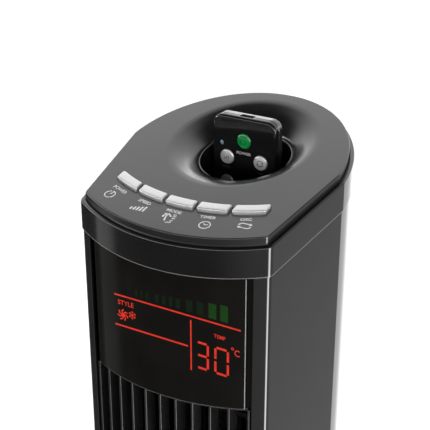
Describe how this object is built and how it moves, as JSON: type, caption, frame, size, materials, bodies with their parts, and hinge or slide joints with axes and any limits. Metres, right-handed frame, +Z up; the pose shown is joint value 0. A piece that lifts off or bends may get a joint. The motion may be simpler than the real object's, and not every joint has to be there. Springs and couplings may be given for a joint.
{
  "type": "tower fan",
  "caption": "Tall black tower fan on a round base with slatted outlet, sloping button panel, digital display and a docked remote control.",
  "frame": {"origin": "bottom centre of the base, on the axis the tower turns about, at the undersides of the feet", "axes": "+Z up along the turning axis, the outlet and display face -Y, +X to the right seen from behind the outlet"},
  "size_m": [0.3, 0.3023, 1.002],
  "materials": {
    "gloss_black": "piano black moulded plastic",
    "satin_grey": "satin charcoal moulded plastic",
    "dark_plastic": "fine textured black plastic",
    "silver_plastic": "silver painted plastic",
    "green_plastic": "translucent green plastic",
    "smoked_lens": "smoked polished acrylic",
    "steel": "plain steel",
    "zinc_plate": "zinc plated pressed steel",
    "rubber": "matte black rubber",
    "white_plastic": "natural acetal",
    "circuit_board": "green solder mask"
  },
  "bodies": {
    "base": {"base_cover": "gloss_black", "base_plate": "zinc_plate", "foot_1": "rubber", "foot_2": "rubber", "foot_3": "rubber", "foot_4": "rubber", "base_screw_1": "steel", "base_screw_2": "steel", "base_screw_3": "steel", "base_screw_4": "steel", "ballast_ring": "steel", "pivot_post": "zinc_plate", "slip_washer": "white_plastic", "cord_inlet": "rubber", "sector_gear": "white_plastic", "post_nut": "zinc_plate"},
    "tower": {"turntable": "dark_plastic", "lower_skirt": "gloss_black", "oscillation_motor": "steel", "motor_mount": "dark_plastic", "main_motor": "steel", "run_capacitor": "dark_plastic", "rear_shell": "gloss_black", "handle_pocket": "dark_plastic", "rear_grille": "dark_plastic", "front_grille": "dark_plastic", "scroll_wall": "dark_plastic", "cutoff_wall": "dark_plastic", "blower_ceiling": "dark_plastic", "top_bearing": "rubber", "head_collar": "gloss_black", "top_plate": "satin_grey", "remote_dock": "gloss_black", "display_lens": "smoked_lens", "display_board": "circuit_board", "key_board": "circuit_board"},
    "osc_pinion": {"osc_pinion": "white_plastic"},
    "impeller": {"drum_1": "dark_plastic", "drum_2": "dark_plastic", "drum_3": "dark_plastic", "impeller_shaft": "steel"},
    "remote": {"remote_front": "gloss_black", "remote_back": "dark_plastic", "remote_pcb": "circuit_board", "ir_emitter": "smoked_lens", "coin_cell": "steel"},
    "battery_cover": {"battery_cover": "dark_plastic"},
    "button_power": {"button_power": "silver_plastic"},
    "key_power": {"key_power": "green_plastic"},
    "button_speed": {"button_speed": "silver_plastic"},
    "key_speed": {"key_speed": "silver_plastic"},
    "button_mode": {"button_mode": "silver_plastic"},
    "key_mode": {"key_mode": "silver_plastic"},
    "button_timer": {"button_timer": "silver_plastic"},
    "key_timer": {"key_timer": "silver_plastic"},
    "button_swing": {"button_swing": "silver_plastic"},
    "key_swing": {"key_swing": "silver_plastic"}
  },
  "joints": [
    {"name": "tower_turn", "type": "hinge", "parent": "base", "child": "tower", "pos_m": [0, 0, 0.04], "axis": [0, 0, 1], "range_deg": [-40, 40]},
    {"name": "pinion_spin", "type": "hinge", "parent": "tower", "child": "osc_pinion", "pos_m": [0, 0.06, 0.053], "axis": [0, 0, 1], "range_deg": [-165, 165]},
    {"name": "impeller_spin", "type": "hinge", "parent": "tower", "child": "impeller", "pos_m": [0, 0.008, 0.5], "axis": [0, 0, 1], "continuous": true},
    {"name": "press_power", "type": "slide", "parent": "tower", "child": "button_power", "axis": [0, 0.2079, -0.9781], "range_m": [0, 0.0012], "stiffness_N_per_m": 400},
    {"name": "press_speed", "type": "slide", "parent": "tower", "child": "button_speed", "axis": [0, 0.2079, -0.9781], "range_m": [0, 0.0012], "stiffness_N_per_m": 400},
    {"name": "press_mode", "type": "slide", "parent": "tower", "child": "button_mode", "axis": [0, 0.2079, -0.9781], "range_m": [0, 0.0012], "stiffness_N_per_m": 400},
    {"name": "press_timer", "type": "slide", "parent": "tower", "child": "button_timer", "axis": [0, 0.2079, -0.9781], "range_m": [0, 0.0012], "stiffness_N_per_m": 400},
    {"name": "press_swing", "type": "slide", "parent": "tower", "child": "button_swing", "axis": [0, 0.2079, -0.9781], "range_m": [0, 0.0012], "stiffness_N_per_m": 400},
    {"name": "remote_lift", "type": "slide", "parent": "tower", "child": "remote", "axis": [0, 0, 1], "range_m": [0, 0.11]},
    {"name": "battery_cover_pull", "type": "slide", "parent": "remote", "child": "battery_cover", "axis": [0, 1, 0], "range_m": [0, 0.01]},
    {"name": "key_press_power", "type": "slide", "parent": "remote", "child": "key_power", "axis": [0, 1, 0], "range_m": [0, 0.0007], "stiffness_N_per_m": 300},
    {"name": "key_press_speed", "type": "slide", "parent": "remote", "child": "key_speed", "axis": [0, 1, 0], "range_m": [0, 0.0007], "stiffness_N_per_m": 300},
    {"name": "key_press_mode", "type": "slide", "parent": "remote", "child": "key_mode", "axis": [0, 1, 0], "range_m": [0, 0.0007], "stiffness_N_per_m": 300},
    {"name": "key_press_timer", "type": "slide", "parent": "remote", "child": "key_timer", "axis": [0, 1, 0], "range_m": [0, 0.0007], "stiffness_N_per_m": 300},
    {"name": "key_press_swing", "type": "slide", "parent": "remote", "child": "key_swing", "axis": [0, 1, 0], "range_m": [0, 0.0007], "stiffness_N_per_m": 300}
  ],
  "couplings": [
    {"joint": "pinion_spin", "follows": "tower_turn", "ratio": 4}
  ]
}
